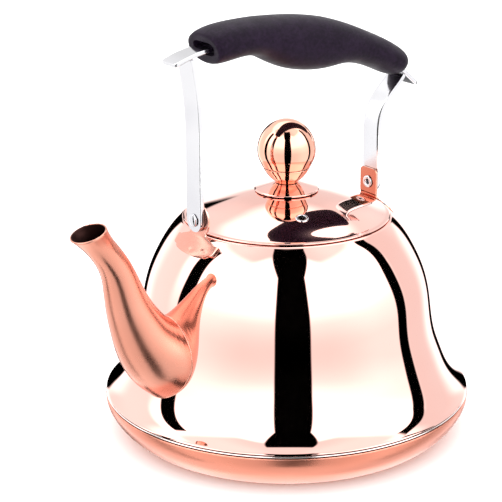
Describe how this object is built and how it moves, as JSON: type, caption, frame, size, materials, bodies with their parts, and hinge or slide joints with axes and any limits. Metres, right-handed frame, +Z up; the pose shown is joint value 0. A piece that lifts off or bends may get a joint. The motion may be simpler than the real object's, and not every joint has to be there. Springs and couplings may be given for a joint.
{
  "type": "stovetop whistling kettle",
  "caption": "Flared stovetop kettle with a curved open spout, a lift-off lid with a ball knob and whistle vent, and a bail handle that swings on riveted side brackets.",
  "frame": {"origin": "centre of the flat underside of the base, on the surface the kettle stands on", "axes": "+Z up along the body's axis; -X towards the spout; +X towards the back; Y across, along the direction the handle swings"},
  "size_m": [0.2221, 0.1896, 0.2181],
  "materials": {
    "mirror_rose_gold": "mirror polished rose-gold plating",
    "satin_rose_gold": "satin rose-gold plating, turned",
    "spout_copper": "semi-bright copper plating",
    "knob_copper": "mirror polished copper plating",
    "polished_steel": "polished stainless steel",
    "inner_steel": "bare drawn stainless steel",
    "soft_black_grip": "matte soft-touch moulding"
  },
  "bodies": {
    "kettle": {"body_shell": "mirror_rose_gold", "mouth_collar": "inner_steel", "base_pan": "satin_rose_gold", "seam_ring": "polished_steel", "spout": "spout_copper", "front_bracket": "mirror_rose_gold", "rear_bracket": "mirror_rose_gold", "front_rivet": "polished_steel", "rear_rivet": "polished_steel"},
    "handle": {"front_strap": "polished_steel", "rear_strap": "polished_steel", "handle_tang": "polished_steel", "grip": "soft_black_grip"},
    "lid": {"lid_dome": "mirror_rose_gold", "lid_skirt": "inner_steel", "vent_eyelet": "polished_steel", "whistle_cup": "inner_steel", "knob_seat": "mirror_rose_gold", "knob_cup": "knob_copper", "knob_shell": "knob_copper", "knob_stud": "polished_steel", "lid_washer": "polished_steel", "lid_nut": "polished_steel"}
  },
  "joints": [
    {"name": "handle_swing", "type": "hinge", "parent": "kettle", "child": "handle", "pos_m": [0, 0, 0.1215], "axis": [1, 0, 0], "range_deg": [-100, 100]},
    {"name": "lid_lift", "type": "slide", "parent": "kettle", "child": "lid", "axis": [0, 0, 1], "range_m": [0, 0.022]}
  ]
}
